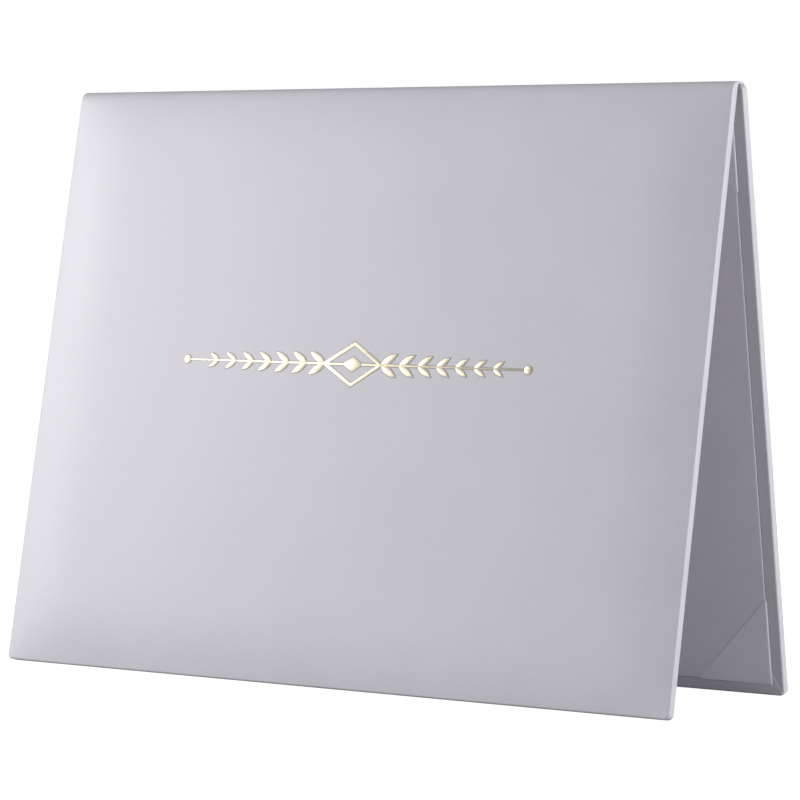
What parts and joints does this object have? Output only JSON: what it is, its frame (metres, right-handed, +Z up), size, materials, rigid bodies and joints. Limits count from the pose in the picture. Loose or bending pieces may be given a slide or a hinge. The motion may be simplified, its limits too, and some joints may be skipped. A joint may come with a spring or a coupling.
{
  "type": "diploma cover",
  "caption": "Padded landscape folder for a certificate, standing open as a tent, with two hinged covers, a soft spine, lining panels, corner pockets and a foil ornament.",
  "frame": {"origin": "on the floor under the middle of the spine, at the bottom centre of the box around the tent", "axes": "+X along the spine, the front cover with the foil on the -Y side, +Z up from the bottom edges to the spine"},
  "size_m": [0.298, 0.1008, 0.2332],
  "materials": {
    "leatherette": "satin pale grey leatherette with a fine grain",
    "foam": "soft open foam",
    "board": "grey binding board",
    "lining": "matt grey lining sheet over card",
    "pocket": "smooth grey folded sheet",
    "foil": "pressed gold foil"
  },
  "bodies": {
    "back_cover": {"back_wrap": "leatherette", "back_foam": "foam", "back_board": "board", "back_hinge_flap": "leatherette", "back_liner": "lining", "pocket_top_left": "pocket", "pocket_top_right": "pocket", "pocket_bottom_left": "pocket", "pocket_bottom_right": "pocket"},
    "spine": {"spine_skin": "leatherette", "spine_lining": "leatherette"},
    "front_cover": {"front_wrap": "leatherette", "front_foam": "foam", "front_board": "board", "front_hinge_flap": "leatherette", "front_liner": "lining", "foil_ornament": "foil"}
  },
  "joints": [
    {"name": "back_fold", "type": "hinge", "parent": "back_cover", "child": "spine", "pos_m": [0, 0.00565, 0.23138], "axis": [-1, 0, 0], "range_deg": [-11, 79]},
    {"name": "front_fold", "type": "hinge", "parent": "spine", "child": "front_cover", "pos_m": [0, -0.00565, 0.23138], "axis": [-1, 0, 0], "range_deg": [-11, 79]}
  ],
  "couplings": [
    {"joint": "front_fold", "follows": "back_fold", "ratio": 1}
  ]
}
